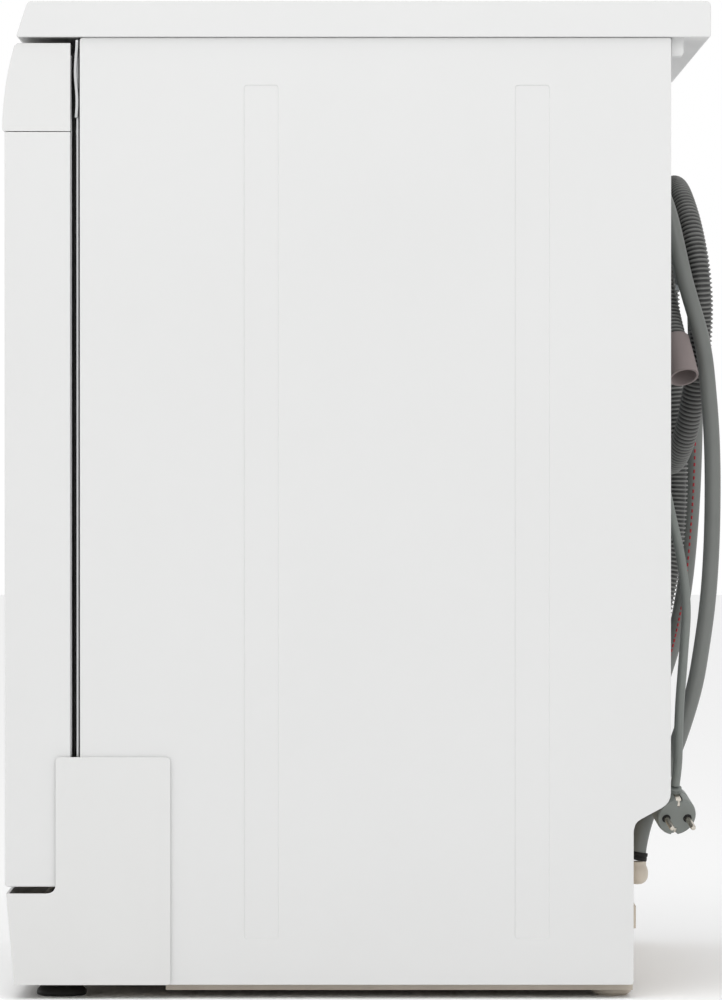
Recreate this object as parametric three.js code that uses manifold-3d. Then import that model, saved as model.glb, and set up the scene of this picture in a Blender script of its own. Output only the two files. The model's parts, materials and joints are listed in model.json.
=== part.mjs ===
// Free-standing dishwasher, 600 mm wide, with its worktop, plinth, racks, works and rear hoses.
// Millimetres. +Z is up, the front faces -Y, and the origin is on the floor under the middle.
import * as THREE from 'three';
import { mergeVertices } from 'three/addons/utils/BufferGeometryUtils.js';
import Module from 'manifold-3d';

const wasm = await Module();
wasm.setup();

// ---- driving dimensions ----
const WIDTH = 600;
const DEPTH = 600;
const HEIGHT = 845;
const GAP = 0.4; // clearance between pieces that touch

const WORKTOP_UNDERSIDE = 814.5;
const WORKTOP_RAKE = 10; // how far the front edge leans back
const PANEL_OUTSIDE = 297; // half width over the side panels
const PANEL_SHEET = 1.2;
const HEEL_ROOM_REAR = -214;
const HEEL_ROOM_TOP = 190;
const PANEL_FRONT = -234;
const PANEL_REAR = 266.5;
const PANEL_BOTTOM = 12;
const PANEL_TOP = WORKTOP_UNDERSIDE - GAP;
const NOTCH_REAR = 235; // rear edge of the side panels below the notch
const NOTCH_TOP = 166;
const NOTCH_STEP = 149;
const RIB_DEPTH = 0.5;
const RIB_BOTTOM = 51;
const RIB_TOP = 774;
const RIB_WIDTH = 29;
const RIB_CENTRES = [-80.5, 149];

const DOOR_HALF = 296.4;
const DOOR_FRONT = -297.8;
const DOOR_REAR = -242;
const DOOR_BOTTOM = 95;
const DOOR_TOP = 734.4;
const DOOR_SHEET = 2;
const HEEL_REAR = -251;
const HEEL_TOP = 165;
const FASCIA_BOTTOM = 735;
const FASCIA_TOP = 809.5;
const FASCIA_TOP_FRONT = -289.5;
const FASCIA_WALL = 3;
const LINER_HALF = 284;
const LINER_FACE = -241;
const LINER_FRONT = -258;
const LINER_BOTTOM = 152;
const LINER_TOP = 800;
const HINGE_Y = -262;
const HINGE_Z = 130;

const PLINTH_TOP = 89.5;
const PLINTH_FRONT = -296.6;
const PLINTH_FOOT_FRONT = -289.8;
const WING_FRONT = -254.6;
const WING_REAR = -157.4;
const WING_TOP = 205;
const WING_INSIDE = PANEL_OUTSIDE + GAP;
const WING_OUTSIDE = WIDTH / 2 - 0.2;

const TUB_HALF = 280;
const TUB_FRONT = -238;
const TUB_BACK = 215;
const TUB_BOTTOM = 150;
const TUB_TOP = 800;
const TUB_WALL = 2;
const MOUTH_HALF = 264;
const MOUTH_BOTTOM = 180;
const MOUTH_TOP = 785;
const TUB_FLOOR = TUB_BOTTOM + TUB_WALL;
const TUB_CENTRE_Y = -5;

const BACK_PANEL_Y = 246;
const BACK_PANEL_BOTTOM = 170;
const BASE_BOTTOM = 6;
const BASE_FRONT_BOTTOM = 13;
const BASE_WALL = 4;
const BASE_TOP = 78;
const BASE_REAR = 235;
const FOOT_X = 255;

const BUTTON_Z = 772;
const BUTTON_RADIUS = 6;
const BUTTON_CENTRES = { power_button: -245, programme_button: -130, start_button: 245 };

const SALT_CAP = [-170, -60];
const FILTER_X = 36;
const INLET_X = 200;
const CRADLE_X = 70;
const CRADLE_Z = 609;
const CRADLE_RADIUS = 75.6;

const DRAIN_RADIUS = 10.5;
const INLET_RADIUS = 7;
const LEAD_RADIUS = 4;
const END_GAP = 1.6; // between a slanted hose end and its fitting
const PLUG_DROP = 23; // from the lead's end to the plug's middle
const PLUG_TIP = 0.42; // radians its pins point down
const PLUG_SWING = 0.26; // radians its pins point to the rear

// ---- colours ----
const FINISHES = {
  white_enamel: [0xeeeeec, 0.35, 0.0],
  white_laminate: [0xeeeeec, 0.4, 0.0],
  white_plastic: [0xebebe8, 0.4, 0.0],
  cream_plastic: [0xd9d0c3, 0.55, 0.0],
  black_plastic: [0x161616, 0.5, 0.0],
  grey_plastic: [0x8c9092, 0.5, 0.0],
  steel: [0xb9bcbf, 0.28, 1.0],
  zinc: [0xa2a5a6, 0.45, 1.0],
  rubber: [0x2b2c2d, 0.75, 0.0],
  hose_grey: [0x6f7675, 0.5, 0.0],
  cuff_taupe: [0x746a69, 0.7, 0.0],
  dark_glass: [0x0d1114, 0.1, 0.0],
  circuit_green: [0x1f5a3a, 0.5, 0.0],
};

const machine = new THREE.Group();

function place(name, finish, geometry) {
  const [color, roughness, metalness] = FINISHES[finish];
  const material = new THREE.MeshStandardMaterial({ color, roughness, metalness });
  const mesh = new THREE.Mesh(geometry, material);
  mesh.name = name;
  machine.add(mesh);
  return mesh;
}

// ---- solids ----
function signedVolume(positions, index) {
  const a = new THREE.Vector3();
  const b = new THREE.Vector3();
  const c = new THREE.Vector3();
  let volume = 0;
  for (let i = 0; i < index.length; i += 3) {
    a.fromArray(positions, index[i] * 3);
    b.fromArray(positions, index[i + 1] * 3);
    c.fromArray(positions, index[i + 2] * 3);
    volume += a.dot(b.cross(c));
  }
  return volume;
}

// A closed geometry with its shared points merged and its faces turned outwards.
function closed(geometry) {
  const bare = geometry.clone();
  bare.deleteAttribute('normal');
  bare.deleteAttribute('uv');
  const merged = mergeVertices(bare, 1e-4);
  const index = merged.index.array;
  if (signedVolume(merged.attributes.position.array, index) < 0) {
    for (let i = 0; i < index.length; i += 3) {
      [index[i], index[i + 1]] = [index[i + 1], index[i]];
    }
  }
  return merged;
}

function solid(geometry) {
  const shape = closed(geometry);
  const mesh = new wasm.Mesh({
    numProp: 3,
    vertProperties: new Float32Array(shape.attributes.position.array),
    triVerts: new Uint32Array(shape.index.array),
  });
  mesh.merge();
  return new wasm.Manifold(mesh);
}

function geometryOf(body) {
  const mesh = body.getMesh();
  const geometry = new THREE.BufferGeometry();
  geometry.setAttribute('position', new THREE.BufferAttribute(mesh.vertProperties, 3));
  geometry.setIndex(new THREE.BufferAttribute(mesh.triVerts, 1));
  return geometry;
}

function join(...shapes) {
  const bodies = shapes.map(solid);
  return geometryOf(bodies.reduce((whole, next) => whole.add(next)));
}

function cut(shape, ...tools) {
  return geometryOf(tools.map(solid).reduce((whole, next) => whole.subtract(next), solid(shape)));
}

function box([x0, x1], [y0, y1], [z0, z1]) {
  const geometry = new THREE.BoxGeometry(x1 - x0, y1 - y0, z1 - z0);
  return geometry.translate((x0 + x1) / 2, (y0 + y1) / 2, (z0 + z1) / 2);
}

// A closed outline of [u, v] points or [u, v, corner radius] points.
function outline(points) {
  const shape = new THREE.Shape();
  points.forEach((point, i) => {
    const [u, v, radius = 0] = point;
    const here = new THREE.Vector2(u, v);
    const before = new THREE.Vector2(...points.at(i - 1).slice(0, 2));
    const after = new THREE.Vector2(...points[(i + 1) % points.length].slice(0, 2));
    const start = before.sub(here).setLength(radius).add(here);
    const end = after.sub(here).setLength(radius).add(here);
    if (i === 0) shape.moveTo(start.x, start.y);
    else shape.lineTo(start.x, start.y);
    if (radius > 0) shape.quadraticCurveTo(u, v, end.x, end.y);
  });
  return shape;
}

// An outline in (Y, Z) carried from x0 to x1.
function alongX(shape, x0, x1, curveSegments = 4) {
  const geometry = new THREE.ExtrudeGeometry(shape, { depth: x1 - x0, bevelEnabled: false, curveSegments });
  const axes = new THREE.Matrix4().makeBasis(
    new THREE.Vector3(0, 1, 0),
    new THREE.Vector3(0, 0, 1),
    new THREE.Vector3(1, 0, 0),
  );
  return geometry.applyMatrix4(axes).translate(x0, 0, 0);
}

// An outline in (X, Z) carried from y0 to y1.
function alongY(shape, y0, y1, curveSegments = 4) {
  const geometry = new THREE.ExtrudeGeometry(shape, { depth: y1 - y0, bevelEnabled: false, curveSegments });
  return geometry.rotateX(Math.PI / 2).translate(0, y1, 0);
}

// An outline in (X, Y) carried from z0 to z1.
function alongZ(shape, z0, z1, curveSegments = 4) {
  const geometry = new THREE.ExtrudeGeometry(shape, { depth: z1 - z0, bevelEnabled: false, curveSegments });
  return geometry.translate(0, 0, z0);
}

// A turned piece: [radius, height] points about an axis through a centre.
function turned(profile, centre, axis = 'z', segments = 24) {
  const points = profile.map(([r, h]) => new THREE.Vector2(r, h));
  const geometry = new THREE.LatheGeometry(points, segments);
  if (axis === 'z') geometry.rotateX(Math.PI / 2);
  if (axis === 'x') geometry.rotateZ(-Math.PI / 2);
  return geometry.translate(...centre);
}

function disc(radius, [low, high], centre, axis = 'z', segments = 24) {
  return turned([[0, low], [radius, low], [radius, high], [0, high]], centre, axis, segments);
}

function mirrored(geometry) {
  return closed(geometry.clone().scale(-1, 1, 1));
}

function placePair(name, finish, geometry) {
  place(`${name}_right`, finish, geometry);
  place(`${name}_left`, finish, mirrored(geometry));
}

// ---- casing ----
function addWorktop() {
  const shape = outline([
    [-288, WORKTOP_UNDERSIDE, 2],
    [DEPTH / 2, WORKTOP_UNDERSIDE, 2],
    [DEPTH / 2, HEIGHT, 5],
    [-288 + WORKTOP_RAKE, HEIGHT, 4],
  ]);
  const bracket = outline([
    [PANEL_REAR + GAP, WORKTOP_UNDERSIDE + 1],
    [PANEL_REAR + GAP, 798.5],
    [277.5, 799.5, 3],
    [277.5, WORKTOP_UNDERSIDE + 1],
  ]);
  place('worktop', 'white_laminate', join(
    alongX(shape, -WIDTH / 2, WIDTH / 2),
    alongX(bracket, 262, 290),
    alongX(bracket, -290, -262),
  ));
}

// The lower front corner is cut back behind the plinth wing, where the door's heel swings in.
function panelOutline(inset) {
  return outline([
    [PANEL_FRONT + inset, HEEL_ROOM_TOP + inset, 2],
    [HEEL_ROOM_REAR + inset, HEEL_ROOM_TOP + inset, 2],
    [HEEL_ROOM_REAR + inset, PANEL_BOTTOM + inset, 2],
    [NOTCH_REAR - inset, PANEL_BOTTOM + inset, 3],
    [NOTCH_REAR - inset, NOTCH_STEP + inset, 7],
    [PANEL_REAR - inset, NOTCH_TOP + inset, 9],
    [PANEL_REAR - inset, PANEL_TOP - inset, 2],
    [PANEL_FRONT + inset, PANEL_TOP - inset, 3],
  ]);
}

function ribOutline(centre) {
  const half = RIB_WIDTH / 2;
  return outline([
    [centre - half, RIB_BOTTOM, 3],
    [centre + half, RIB_BOTTOM, 3],
    [centre + half, RIB_TOP, 3],
    [centre - half, RIB_TOP, 3],
  ]);
}

function addSidePanels() {
  const flange = 14;
  const skin = alongX(panelOutline(0), PANEL_OUTSIDE - flange, PANEL_OUTSIDE);
  const hollow = alongX(panelOutline(PANEL_SHEET), PANEL_OUTSIDE - flange - 1, PANEL_OUTSIDE - PANEL_SHEET);
  const ribs = RIB_CENTRES.map((y) => alongX(ribOutline(y), PANEL_OUTSIDE - RIB_DEPTH, PANEL_OUTSIDE + 1));
  placePair('side_panel', 'white_enamel', cut(skin, hollow, ...ribs));
}

function addBackPanel() {
  const half = PANEL_OUTSIDE - PANEL_SHEET - 16;
  const sheet = box([-half, half], [BACK_PANEL_Y, BACK_PANEL_Y + PANEL_SHEET], [BACK_PANEL_BOTTOM, 812]);
  place('back_panel', 'zinc', sheet);
  const cover = box([-half, half], [229, 232.5], [BASE_TOP + GAP, 168]);
  const port = disc(12, [-10, 10], [INLET_X, 230, INLET_PORT_Z], 'y', 16);
  place('lower_back_cover', 'cream_plastic', cut(cover, port));
}

function addBase() {
  const trayOutline = (inset, top) => outline([
    [-272 + inset, BASE_FRONT_BOTTOM + inset],
    [-162 + inset, BASE_FRONT_BOTTOM + inset],
    [-162 + inset, BASE_BOTTOM + inset],
    [BASE_REAR - inset, BASE_BOTTOM + inset],
    [BASE_REAR - inset, top],
    [-272 + inset, top],
  ]);
  const tray = alongX(trayOutline(0, BASE_TOP), -279, 279);
  const well = alongX(trayOutline(BASE_WALL, BASE_TOP + 1), -279 + BASE_WALL, 279 - BASE_WALL);
  const foot = [[0, 0], [13, 0], [16.5, 2.5], [17, 7], [0, 7]];
  const feet = [-FOOT_X, FOOT_X].map((x) => turned(foot, [x, 218, 0], 'z', 16));
  const lug = box([236, 274], [BASE_REAR - 1, BASE_REAR + 3], [58, BASE_TOP - 1]);
  place('base_tray', 'cream_plastic', join(cut(tray, well), lug, ...feet));
}

function addFeet() {
  const front = [[0, 0], [20, 0], [21.5, 2], [21, 4.5], [16, 9], [16, 12.6], [0, 12.6]];
  placePair('front_foot', 'black_plastic', turned(front, [FOOT_X, -251.7, 0], 'z', 20));
}

function addPlinth() {
  const wing = outline([
    [PLINTH_FRONT, PLINTH_TOP, 2],
    [PLINTH_FOOT_FRONT, PANEL_BOTTOM, 5],
    [WING_REAR, PANEL_BOTTOM, 3],
    [WING_REAR, WING_TOP, 4],
    [WING_FRONT, WING_TOP, 4],
    [WING_FRONT, PLINTH_TOP, 8],
  ]);
  const wall = 2.6;
  const front = outline([
    [PLINTH_FRONT, PLINTH_TOP],
    [PLINTH_FOOT_FRONT, PANEL_BOTTOM],
    [PLINTH_FOOT_FRONT + wall, PANEL_BOTTOM],
    [PLINTH_FRONT + wall, PLINTH_TOP],
  ]);
  place('plinth', 'white_plastic', join(
    alongX(front, -WING_OUTSIDE, WING_OUTSIDE),
    alongX(wing, WING_INSIDE, WING_OUTSIDE),
    alongX(wing, -WING_OUTSIDE, -WING_INSIDE),
  ));
}

// ---- door ----
function addDoorPanel() {
  const side = outline([
    [DOOR_FRONT, DOOR_BOTTOM, 3],
    [HEEL_REAR, DOOR_BOTTOM],
    [HEEL_REAR, HEEL_TOP],
    [DOOR_REAR, HEEL_TOP],
    [DOOR_REAR, DOOR_TOP],
    [DOOR_FRONT, DOOR_TOP, 2],
  ]);
  const room = box(
    [-DOOR_HALF + DOOR_SHEET, DOOR_HALF - DOOR_SHEET],
    [DOOR_FRONT + DOOR_SHEET, 0],
    [DOOR_BOTTOM + DOOR_SHEET, DOOR_TOP + 1],
  );
  const heelRoom = box(
    [-DOOR_HALF + DOOR_SHEET, DOOR_HALF - DOOR_SHEET],
    [HINGE_Y, 0],
    [DOOR_BOTTOM - 1, HEEL_TOP],
  );
  place('door_outer_panel', 'white_enamel', cut(alongX(side, -DOOR_HALF, DOOR_HALF), room, heelRoom));
}

function fasciaOutline() {
  const shape = new THREE.Shape();
  shape.moveTo(DOOR_REAR, FASCIA_BOTTOM);
  shape.lineTo(-DEPTH / 2 + 2, FASCIA_BOTTOM);
  shape.quadraticCurveTo(-DEPTH / 2, FASCIA_BOTTOM, -DEPTH / 2, FASCIA_BOTTOM + 3);
  shape.quadraticCurveTo(-298.5, 778, FASCIA_TOP_FRONT, FASCIA_TOP - 2);
  shape.lineTo(FASCIA_TOP_FRONT + 3, FASCIA_TOP);
  shape.lineTo(DOOR_REAR, FASCIA_TOP);
  return shape;
}

function addFascia() {
  const inside = DOOR_HALF - FASCIA_WALL;
  const room = box([-inside, inside], [-292, 0], [FASCIA_BOTTOM + FASCIA_WALL, FASCIA_TOP - FASCIA_WALL]);
  const holes = Object.values(BUTTON_CENTRES).map(
    (x) => disc(BUTTON_RADIUS + 0.6, [-20, 20], [x, -292, BUTTON_Z], 'y', 16),
  );
  const window = box([-62, 62], [-310, -285], [760, 784]);
  const grip = box([-95, 95], [-290, -268], [FASCIA_BOTTOM - 1, FASCIA_BOTTOM + 25]);
  const gripShell = box([-98, 98], [-292.5, -265], [FASCIA_BOTTOM + 1, FASCIA_BOTTOM + 28]);
  const linerSlot = box([-LINER_HALF - 2, LINER_HALF + 2], [LINER_FRONT - 3, 0], [FASCIA_BOTTOM - 1, 740]);
  const body = cut(alongX(fasciaOutline(), -DOOR_HALF, DOOR_HALF, 6), room, ...holes, window, linerSlot);
  place('control_fascia', 'white_plastic', cut(join(body, gripShell), grip));
  place('display_window', 'dark_glass', box([-61.4, 61.4], [-296.5, -294], [760.6, 783.4]));
  for (const [name, x] of Object.entries(BUTTON_CENTRES)) {
    const cap = [[0, 0], [BUTTON_RADIUS - 1, 0], [BUTTON_RADIUS, 1], [BUTTON_RADIUS, 12], [0, 12]];
    place(name, 'grey_plastic', turned(cap, [x, -300, BUTTON_Z], 'y', 16));
  }
  place('control_board', 'circuit_green', box([-262, 262], [-281, -279.4], [767, 800]));
}

function addDoorLiner() {
  const shell = box([-LINER_HALF, LINER_HALF], [LINER_FRONT, LINER_FACE], [LINER_BOTTOM, LINER_TOP]);
  const room = box(
    [-LINER_HALF + 2, LINER_HALF - 2],
    [LINER_FRONT - 1, LINER_FACE - 2],
    [LINER_BOTTOM + 2, LINER_TOP - 2],
  );
  const cupHole = box([-100, 100], [LINER_FRONT, LINER_FACE + 1], [470, 590]);
  place('door_inner_liner', 'steel', cut(shell, room, cupHole));
}

function addDispenser() {
  const body = box([-99.5, 99.5], [-266, LINER_FACE], [470.5, 589.5]);
  const cup = box([-70, 25], [-262, LINER_FACE + 1], [490, 560]);
  const cap = disc(20, [-5, 3], [62, LINER_FACE, 525], 'y', 20);
  place('dispenser_body', 'grey_plastic', join(cut(body, cup), cap));
  place('dispenser_lid', 'grey_plastic', box([-74, 29], [LINER_FACE + GAP, LINER_FACE + 4], [486, 566]));
}

function addHinges() {
  const arm = join(
    alongX(outline([[-262, 138, 2], [-262, 330, 3], [-270, 330, 3], [-270, 138, 2]]), 286, 289.5),
    disc(11, [286, 289.5], [0, HINGE_Y, HINGE_Z], 'x', 20),
  );
  const eye = disc(4.6, [280, 295], [0, HINGE_Y, HINGE_Z], 'x', 16);
  placePair('hinge_arm', 'zinc', cut(arm, eye));
  const plate = outline([
    [HINGE_Y - 7, HINGE_Z - 6, 4],
    [HINGE_Y + 7, HINGE_Z - 6, 2],
    [HINGE_Y + 7, HINGE_Z + 3],
    [-222, HINGE_Z + 3],
    [-222, 18],
    [-200, 18],
    [-200, 148],
    [HINGE_Y - 7, 148, 4],
  ]);
  const pin = disc(4.3, [268, 292], [0, HINGE_Y, HINGE_Z], 'x', 16);
  placePair('hinge_bracket', 'zinc', join(alongX(plate, 268, 272), pin));
}

function addDoorSprings() {
  const coils = 9;
  const pitch = 14;
  const profile = [[0, 0]];
  for (let i = 0; i < coils; i += 1) {
    profile.push([9, i * pitch], [11, i * pitch + pitch / 2]);
  }
  profile.push([9, coils * pitch], [0, coils * pitch]);
  placePair('door_spring', 'zinc', turned(profile, [262, -120, 55], 'y', 8));
}

function addLatch() {
  place('latch_strike', 'zinc', box([-12, 12], [-250, -239], [802, 805]));
  place('door_lock', 'black_plastic', box([-34, 34], [-275, -260], [778, 804]));
}

// ---- tub ----
function frameXZ(half, low, high, innerHalf, innerLow, innerHigh, y0, y1) {
  const outer = box([-half, half], [y0, y1], [low, high]);
  const inner = box([-innerHalf, innerHalf], [y0 - 1, y1 + 1], [innerLow, innerHigh]);
  return cut(outer, inner);
}

function addTub() {
  const shell = box([-TUB_HALF, TUB_HALF], [TUB_FRONT + 2, TUB_BACK], [TUB_BOTTOM, TUB_TOP]);
  const room = box(
    [-TUB_HALF + TUB_WALL, TUB_HALF - TUB_WALL],
    [TUB_FRONT, TUB_BACK - TUB_WALL],
    [TUB_FLOOR, TUB_TOP - TUB_WALL],
  );
  const mouth = [MOUTH_HALF, MOUTH_BOTTOM, MOUTH_TOP];
  const rim = frameXZ(TUB_HALF + 8, TUB_BOTTOM, TUB_TOP + 4, ...mouth, TUB_FRONT, TUB_FRONT + 3);
  const sumpHole = disc(78, [TUB_BOTTOM - 2, TUB_FLOOR + 2], [0, TUB_CENTRE_Y, 0], 'z', 32);
  const saltHole = disc(29, [TUB_BOTTOM - 2, TUB_FLOOR + 2], [...SALT_CAP, 0], 'z');
  const ledges = [-1, 1].map((side) => box(
    [Math.min(side * 237, side * 262), Math.max(side * 237, side * 262)],
    [-226, 200],
    [TUB_FLOOR - 1, 181],
  ));
  place('tub', 'steel', cut(join(cut(shell, room), rim, ...ledges), sumpHole, saltHole));
  const seal = frameXZ(277, 167, 797, 267, 176, 788, LINER_FACE + GAP, TUB_FRONT - GAP);
  place('door_seal', 'rubber', seal);
}

// ---- racks ----
function bars(list, thickness) {
  const half = thickness / 2;
  return list.map(([a, b]) => box(
    [Math.min(a[0], b[0]) - half, Math.max(a[0], b[0]) + half],
    [Math.min(a[1], b[1]) - half, Math.max(a[1], b[1]) + half],
    [Math.min(a[2], b[2]) - half, Math.max(a[2], b[2]) + half],
  ));
}

function spread(low, high, count) {
  return Array.from({ length: count }, (_, i) => low + ((high - low) * i) / (count - 1));
}

function rack({ half, front, back, floor, rim, long, cross, wire }) {
  const list = [];
  for (const x of spread(-half, half, long)) {
    list.push([[x, front, floor], [x, back, floor]]);
    list.push([[x, front, floor], [x, front, rim]]);
    list.push([[x, back, floor], [x, back, rim]]);
  }
  for (const y of spread(front, back, cross)) {
    list.push([[-half, y, floor], [half, y, floor]]);
    list.push([[-half, y, floor], [-half, y, rim]]);
    list.push([[half, y, floor], [half, y, rim]]);
  }
  list.push([[-half, front, rim], [half, front, rim]], [[-half, back, rim], [half, back, rim]]);
  list.push([[-half, front, rim], [-half, back, rim]], [[half, front, rim], [half, back, rim]]);
  return join(...bars(list, wire));
}

const UPPER = { half: 245, front: -206, back: 196, floor: 446, rim: 560, long: 5, cross: 4, wire: 5 };
const LOWER = { half: 232, front: -206, back: 196, floor: 206, rim: 320, long: 5, cross: 4, wire: 5 };
const WHEEL_X = 243;
const WHEEL_Z = 197;
const WHEEL_YS = { front: -150, rear: 140 };

function addUpperRack() {
  const bridge = box([-247, 247], [TUB_CENTRE_Y - 9, TUB_CENTRE_Y + 9], [436, 446]);
  const hub = disc(14, [430.6, 437], [0, TUB_CENTRE_Y, 0], 'z', 20);
  const runners = [-261.4, 246].map((x) => box([x, x + 15.4], [-200, 190], [485, 505]));
  const uprights = [-255, 246].map((x) => box([x, x + 9], [TUB_CENTRE_Y - 9, TUB_CENTRE_Y + 9], [436, 486]));
  place('upper_rack', 'grey_plastic', join(rack(UPPER), bridge, hub, ...runners, ...uprights));
  placePair('upper_rail', 'steel', join(
    box([268, 277.4], [-228, 205], [482, 508]),
    box([262, 270], [-226, 203], [491, 499]),
  ));
}

function addLowerRack() {
  const hangers = [];
  for (const y of Object.values(WHEEL_YS)) {
    for (const side of [-1, 1]) {
      const x = side * (LOWER.half + 1);
      hangers.push(box([x - 3, x + 3], [y - 5, y + 5], [WHEEL_Z - 4, LOWER.floor + 1]));
      const span = [side * LOWER.half, side * (WHEEL_X + 6)].sort((a, b) => a - b);
      hangers.push(disc(3, span, [0, y, WHEEL_Z], 'x', 12));
    }
  }
  place('lower_rack', 'grey_plastic', join(rack(LOWER), ...hangers));
  for (const [end, y] of Object.entries(WHEEL_YS)) {
    const wheel = disc(15, [-4, 4], [WHEEL_X, y, WHEEL_Z], 'x', 20);
    const bore = disc(3.4, [-5, 5], [WHEEL_X, y, WHEEL_Z], 'x', 12);
    placePair(`wheel_${end}`, 'grey_plastic', cut(wheel, bore));
  }
}

function addCutleryBasket() {
  const body = box([-70, 70], [-190, -120], [212, 330]);
  const cells = [-67, -21.5, 24].map((x) => box([x, x + 43], [-187, -123], [215, 331]));
  const handle = cut(
    box([-70, 70], [-157, -153], [300, 385]),
    box([-60, 60], [-158, -152], [280, 375]),
  );
  place('cutlery_basket', 'grey_plastic', join(cut(body, ...cells), handle));
}

// ---- spray arms ----
function sprayArm(z0, z1) {
  const reach = 196;
  const blade = outline([
    [-reach, TUB_CENTRE_Y - 16, 10],
    [0, TUB_CENTRE_Y - 30, 40],
    [reach, TUB_CENTRE_Y - 12, 10],
    [reach, TUB_CENTRE_Y + 16, 10],
    [0, TUB_CENTRE_Y + 30, 40],
    [-reach, TUB_CENTRE_Y + 12, 10],
  ]);
  return join(alongZ(blade, z0, z1), disc(24, [z0 - 2, z1 + 1], [0, TUB_CENTRE_Y, 0], 'z', 20));
}

function addSprayArms() {
  place('lower_spray_arm', 'grey_plastic', sprayArm(168, 178));
  place('upper_spray_arm', 'grey_plastic', sprayArm(419, 429));
  place('roof_spray', 'grey_plastic', turned(
    [[0, 0], [30, 0], [34, 8], [20, 14], [0, 14]],
    [0, TUB_CENTRE_Y, TUB_TOP - TUB_WALL - 14 - GAP],
  ));
}

// ---- water works ----
function addSump() {
  const cup = [[0, 84], [62, 84], [77, 110], [77, 151.6], [73.5, 151.6], [73.5, 111], [60, 88], [0, 88]];
  const post = disc(11, [86, 165.5], [0, TUB_CENTRE_Y, 0], 'z', 16);
  place('sump', 'black_plastic', join(turned(cup, [0, TUB_CENTRE_Y, 0], 'z', 24), post));
  const plate = disc(92, [TUB_FLOOR + GAP, 154.4], [0, TUB_CENTRE_Y, 0], 'z', 24);
  const postHole = disc(12, [150, 160], [0, TUB_CENTRE_Y, 0], 'z', 16);
  const cupHole = disc(21.4, [150, 160], [FILTER_X, TUB_CENTRE_Y, 0], 'z', 20);
  place('filter_plate', 'steel', cut(plate, postHole, cupHole));
  const strainer = [[0, 92], [19.6, 92], [19.6, 155], [22.4, 155], [22.4, 158], [17, 158], [17, 95], [0, 95]];
  place('filter_cup', 'grey_plastic', turned(strainer, [FILTER_X, TUB_CENTRE_Y, 0], 'z', 20));
}

function addPumps() {
  const pump = [[0, 0], [38, 0], [42, 6], [42, 30], [30, 34], [30, 92], [24, 98], [0, 98]];
  place('circulation_pump', 'black_plastic', turned(pump, [-70, 85, 56], 'y', 16));
  const heater = [[0, 0], [22, 0], [24, 4], [24, 96], [22, 100], [0, 100]];
  place('flow_heater', 'steel', turned(heater, [-20, 150, 56], 'x', 16));
  const drain = [[0, 0], [26, 0], [28, 4], [28, 22], [20, 26], [20, 60], [0, 60]];
  place('drain_pump', 'black_plastic', turned(drain, [120, 20, 50], 'x', 16));
  const tank = box([-245, -120], [-120, 40], [20, 128]);
  const neck = disc(27, [120, TUB_FLOOR], [...SALT_CAP, 0]);
  place('water_softener', 'white_plastic', join(tank, neck));
  place('salt_cap', 'grey_plastic', turned(
    [[0, 0], [33, 0], [33, 7], [29, 9], [0, 9]],
    [...SALT_CAP, TUB_FLOOR + GAP],
  ));
  place('inlet_valve', 'white_plastic', box([180, 222], [180, 226], [84, 122]));
}

// ---- rear hoses and lead ----
const ELBOW_Y = 242.5;

const DRAIN_EXIT = [-19, 258.6, 222];
const INLET_EXIT = [INLET_X, ELBOW_Y, 111.6];
const INLET_PORT_Z = 100;
const LEAD_EXIT = [-262, 253.6, 205];

const DRAIN_ROUTE = [
  DRAIN_EXIT, [-19, 260, 262], [-20, 272, 312], [-20, 283, 366], [-20, 288, 425],
  [-19.6, 287.5, 485.3], [-19.3, 283, 550.5], [-19, 280.4, 613], [-5, 280.4, 657], [26, 280.4, 687],
  [70, 281, 698], [114, 285, 687], [145, 292, 657], [159.5, 298.5, 615], [154.5, 300, 575.6],
  [146, 296, 525.2], [118, 288, 477.1], [70, 278, 454], [21, 267, 471], [-11, 260, 509.9],
  [-19.3, 258.8, 561.5], [-19.2, 258.8, 613], [-5, 258.8, 657], [26, 258.8, 687], [70, 258.8, 698],
  [114, 258.8, 687], [145.5, 260.8, 656], [155.5, 264.5, 629], [161.5, 267.5, 606],
  [169.5, 271, 583.1], [182, 275.2, 562.6],
];

const INLET_ROUTE = [
  INLET_EXIT, [INLET_X, 244.4, 125.5], [INLET_X, 247.9, 140.5], [200, 253.5, 157],
  [200, 261.5, 177], [199, 271, 197], [198, 282, 226], [197, 292.5, 262], [196, 299, 299],
  [194, 304, 337], [190, 307, 377], [184, 308.5, 420], [178, 308.5, 465], [175, 306, 509.9],
  [177, 300, 558.2], [183.5, 284.5, 613], [170, 273, 666], [140, 263.5, 699], [105, 258, 718],
  [70, 257, 723], [35, 259, 719], [2, 272, 703], [-26, 290, 671], [-41, 303, 629],
  [-45, 306.5, 583.1], [-46, 307, 523], [-47, 306, 460], [-48, 303, 400], [-49, 297, 340],
  [-50, 287, 290], [-51, 275, 250], [-51, 267.5, 218], [-51, 266, 202],
];

const LEAD_ROUTE = [
  LEAD_EXIT, [-262, 254.5, 230], [-258, 262, 262], [-240, 273, 296], [-210, 283, 330],
  [-170, 292, 366], [-130, 297, 405], [-95, 296, 445], [-64, 288, 490.6], [-42, 276, 550.5],
  [-31, 270.5, 605], [-24, 269.5, 641], [-7, 269.5, 675], [25, 269.5, 700], [70, 269.5, 709.4],
  [115, 269.5, 700], [148, 269.5, 674], [166.5, 269.5, 642], [176, 269, 613], [192, 267, 588.4],
  [212, 262, 566], [226, 259.5, 534], [231, 259, 494], [230, 262, 452], [226, 270, 412],
  [223, 279, 372], [223, 283.5, 330], [228, 281, 290], [236, 277.5, 250], [242.6, 275.8, 218],
  [242, 275.2, 197], [236, 273.4, 178],
];

function ring(radius, sides) {
  const shape = new THREE.Shape();
  for (let i = 0; i < sides; i += 1) {
    const turn = (i / sides) * 2 * Math.PI;
    const point = [radius * Math.cos(turn), radius * Math.sin(turn)];
    if (i === 0) shape.moveTo(...point);
    else shape.lineTo(...point);
  }
  return shape;
}

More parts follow.
